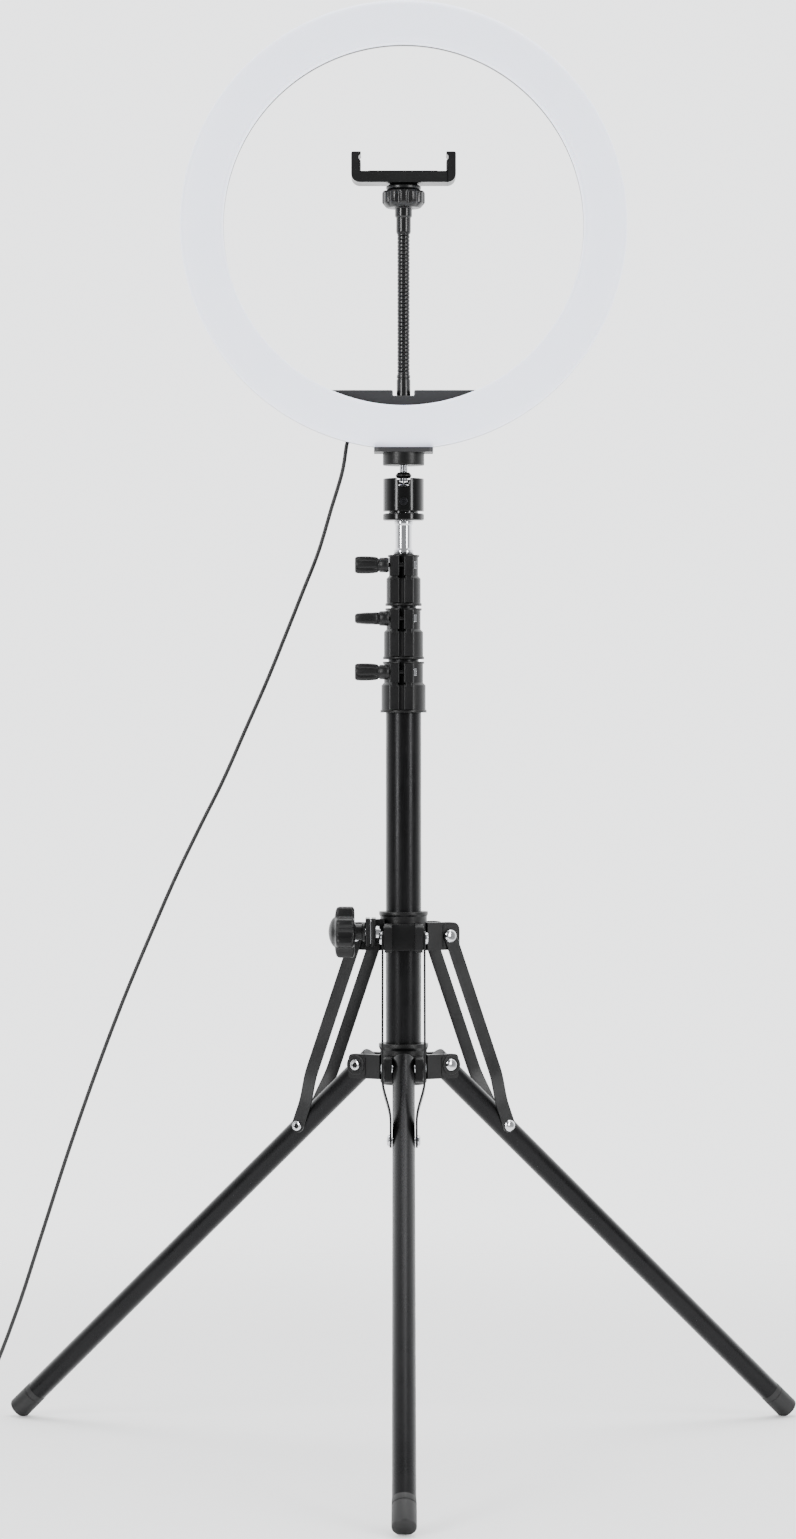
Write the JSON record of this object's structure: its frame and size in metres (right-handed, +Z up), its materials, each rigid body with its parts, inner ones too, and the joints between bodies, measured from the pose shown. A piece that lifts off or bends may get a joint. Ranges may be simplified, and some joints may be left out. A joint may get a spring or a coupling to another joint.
{
  "type": "ring light",
  "caption": "Ring light with opal diffuser and gooseneck phone clip on a ball head, on a four-section reverse-folding tripod stand with a USB lead.",
  "frame": {"origin": "bottom centre of the object's box without its lead, on the floor between the three feet", "axes": "+Z up, the light's face and the front leg point along -Y, +X to the right seen from the front"},
  "size_m": [0.6889, 0.5766, 1.0726],
  "materials": {
    "anodised_tube": "black anodised drawn tube, satin",
    "anodised_head": "black anodised turned aluminium, gloss",
    "black_nylon": "moulded black nylon, fine grain",
    "rubber_foot": "moulded black rubber, matt",
    "chrome_fitting": "bright chrome plate",
    "painted_strip": "black powder paint on steel strip, satin",
    "shell_abs": "moulded dark grey ABS, fine spark texture",
    "opal_diffuser": "opal white polycarbonate, satin",
    "led_board": "white solder-masked board",
    "gooseneck_black": "black lacquered spiral steel, satin",
    "clip_abs": "moulded black ABS, satin",
    "lead_pvc": "black PVC lead, satin",
    "lead_abs": "moulded black ABS, semi-gloss",
    "button_rubber": "black silicone keys, matt"
  },
  "bodies": {
    "base": {"lower_hub": "black_nylon", "main_tube": "anodised_tube", "lock_collar_1": "black_nylon", "leg_pin_1": "chrome_fitting", "leg_pin_2": "chrome_fitting", "leg_pin_3": "chrome_fitting", "lead_run": "lead_pvc", "lead_controller": "lead_abs", "lead_coil": "lead_pvc", "usb_plug": "lead_abs"},
    "lock_knob_1": {"lock_knob_1": "black_nylon"},
    "mast_2": {"mast_tube_2": "anodised_tube", "lock_collar_2": "black_nylon"},
    "lock_knob_2": {"lock_knob_2": "black_nylon"},
    "mast_3": {"mast_tube_3": "anodised_tube", "lock_collar_3": "black_nylon"},
    "lock_knob_3": {"lock_knob_3": "black_nylon"},
    "mast_4": {"mast_tube_4": "anodised_tube", "spigot": "chrome_fitting"},
    "head_ring": {"head_ring": "anodised_head"},
    "ball_head": {"ball_housing": "anodised_head", "grub_screw": "painted_strip"},
    "ring_head": {"ball_stud": "chrome_fitting", "stud_flange": "black_nylon", "mount_bracket": "shell_abs", "ring_diffuser": "opal_diffuser", "ring_shell": "shell_abs", "led_board": "led_board", "control_housing": "shell_abs", "control_cover": "shell_abs", "neck_ferrule": "gooseneck_black", "gooseneck_lower": "gooseneck_black", "strain_relief": "lead_pvc"},
    "gooseneck_mid": {"gooseneck_upper": "gooseneck_black"},
    "clip_mount": {"top_ferrule": "gooseneck_black"},
    "clip_nut": {"clip_nut": "clip_abs"},
    "clip": {"clip_stem": "clip_abs", "clip_body": "clip_abs"},
    "clip_jaw": {"clip_jaw": "clip_abs"},
    "collar": {"sliding_collar": "black_nylon"},
    "star_knob": {"star_knob": "black_nylon"},
    "leg_1": {"leg_tube_1": "anodised_tube", "foot_1": "rubber_foot", "strut_pin_1": "chrome_fitting"},
    "struts_1": {"strut_1_left": "painted_strip", "strut_1_right": "painted_strip"},
    "leg_2": {"leg_tube_2": "anodised_tube", "foot_2": "rubber_foot", "strut_pin_2": "chrome_fitting"},
    "struts_2": {"strut_2_left": "painted_strip", "strut_2_right": "painted_strip"},
    "leg_3": {"leg_tube_3": "anodised_tube", "foot_3": "rubber_foot", "strut_pin_3": "chrome_fitting"},
    "struts_3": {"strut_3_left": "painted_strip", "strut_3_right": "painted_strip"},
    "power_button": {"power_button": "button_rubber"},
    "mode_button": {"mode_button": "button_rubber"},
    "dimmer_button": {"dimmer_button": "button_rubber"}
  },
  "joints": [
    {"name": "mast_slide_1", "type": "slide", "parent": "base", "child": "mast_2", "axis": [0, 0, 1], "range_m": [0, 0.26], "deforming": ["lead_run"]},
    {"name": "mast_slide_2", "type": "slide", "parent": "mast_2", "child": "mast_3", "axis": [0, 0, 1], "range_m": [0, 0.26], "deforming": ["lead_run"]},
    {"name": "mast_slide_3", "type": "slide", "parent": "mast_3", "child": "mast_4", "axis": [0, 0, 1], "range_m": [0, 0.26], "deforming": ["lead_run"]},
    {"name": "lock_knob_1_turn", "type": "hinge", "parent": "base", "child": "lock_knob_1", "pos_m": [0, 0.0662, 0.5767], "axis": [1, 0, 0], "range_deg": [0, 180]},
    {"name": "lock_knob_2_turn", "type": "hinge", "parent": "mast_2", "child": "lock_knob_2", "pos_m": [0, 0.06805, 0.6161], "axis": [1, 0, 0], "range_deg": [0, 180]},
    {"name": "lock_knob_3_turn", "type": "hinge", "parent": "mast_3", "child": "lock_knob_3", "pos_m": [0, 0.0699, 0.6555], "axis": [1, 0, 0], "range_deg": [0, 180]},
    {"name": "head_ring_turn", "type": "hinge", "parent": "mast_4", "child": "head_ring", "pos_m": [0, 0.08385, 0.691], "axis": [0, 0, 1], "range_deg": [0, 90]},
    {"name": "head_pan", "type": "hinge", "parent": "mast_4", "child": "ball_head", "pos_m": [0, 0.08385, 0.7], "axis": [0, 0, 1], "range_deg": [-180, 180], "deforming": ["lead_run"]},
    {"name": "head_tilt", "type": "hinge", "parent": "ball_head", "child": "ring_head", "pos_m": [0, 0.08385, 0.708], "axis": [1, 0, 0], "range_deg": [-35, 35], "deforming": ["lead_run"]},
    {"name": "gooseneck_bend", "type": "hinge", "parent": "ring_head", "child": "gooseneck_mid", "pos_m": [0, 0.10365, 0.8239], "axis": [1, 0, 0], "range_deg": [-50, 50], "deforming": ["gooseneck_lower", "gooseneck_upper"]},
    {"name": "gooseneck_sway", "type": "hinge", "parent": "gooseneck_mid", "child": "clip_mount", "pos_m": [0, 0.10365, 0.876], "axis": [0, 1, 0], "range_deg": [-60, 60], "deforming": ["gooseneck_lower", "gooseneck_upper"]},
    {"name": "clip_nut_turn", "type": "hinge", "parent": "clip_mount", "child": "clip_nut", "pos_m": [0, 0.10365, 0.928], "axis": [0, 0, 1], "range_deg": [0, 120]},
    {"name": "clip_turn", "type": "hinge", "parent": "clip_mount", "child": "clip", "pos_m": [0, 0.10365, 0.935], "axis": [0, 0, 1], "range_deg": [-180, 180]},
    {"name": "clip_jaw_slide", "type": "slide", "parent": "clip", "child": "clip_jaw", "axis": [1, 0, 0], "range_m": [0, 0.02], "stiffness_N_per_m": 120, "springref_m": -0.015},
    {"name": "leg_1_fold", "type": "hinge", "parent": "base", "child": "leg_1", "pos_m": [0, 0.05135, 0.286], "axis": [-1, 0, 0], "range_deg": [0, 131.9]},
    {"name": "leg_2_fold", "type": "hinge", "parent": "base", "child": "leg_2", "pos_m": [-0.02815, 0.1001, 0.286], "axis": [0.5, 0.866, 0], "range_deg": [0, 131.9]},
    {"name": "leg_3_fold", "type": "hinge", "parent": "base", "child": "leg_3", "pos_m": [0.02815, 0.1001, 0.286], "axis": [0.5, -0.866, 0], "range_deg": [0, 131.9]},
    {"name": "collar_slide", "type": "slide", "parent": "base", "child": "collar", "axis": [0, 0, 1], "range_m": [0, 0.1298]},
    {"name": "struts_1_turn", "type": "hinge", "parent": "leg_1", "child": "struts_1", "pos_m": [0, -0.00202, 0.23812], "axis": [1, 0, 0], "range_deg": [0, 152.3]},
    {"name": "struts_2_turn", "type": "hinge", "parent": "leg_2", "child": "struts_2", "pos_m": [-0.07436, 0.12679, 0.23812], "axis": [-0.5, -0.866, 0], "range_deg": [0, 152.3]},
    {"name": "struts_3_turn", "type": "hinge", "parent": "leg_3", "child": "struts_3", "pos_m": [0.07436, 0.12679, 0.23812], "axis": [-0.5, 0.866, 0], "range_deg": [0, 152.3]},
    {"name": "star_knob_turn", "type": "hinge", "parent": "collar", "child": "star_knob", "pos_m": [0, 0.06135, 0.3857], "axis": [1, 0, 0], "range_deg": [0, 180]},
    {"name": "power_button_press", "type": "slide", "parent": "base", "child": "power_button", "axis": [0, 0, -1], "range_m": [0, 0.0008], "stiffness_N_per_m": 400, "springref_m": -0.0006},
    {"name": "mode_button_press", "type": "slide", "parent": "base", "child": "mode_button", "axis": [0, 0, -1], "range_m": [0, 0.0008], "stiffness_N_per_m": 400, "springref_m": -0.0006},
    {"name": "dimmer_button_press", "type": "slide", "parent": "base", "child": "dimmer_button", "axis": [0, 0, -1], "range_m": [0, 0.0008], "stiffness_N_per_m": 400, "springref_m": -0.0006}
  ],
  "couplings": [
    {"joint": "leg_2_fold", "follows": "leg_1_fold", "ratio": 1},
    {"joint": "leg_3_fold", "follows": "leg_1_fold", "ratio": 1},
    {"joint": "collar_slide", "follows": "leg_1_fold", "m_per_rad": 0.056347},
    {"joint": "struts_1_turn", "follows": "leg_1_fold", "ratio": 1.1545},
    {"joint": "struts_2_turn", "follows": "leg_1_fold", "ratio": 1.1545},
    {"joint": "struts_3_turn", "follows": "leg_1_fold", "ratio": 1.1545}
  ]
}
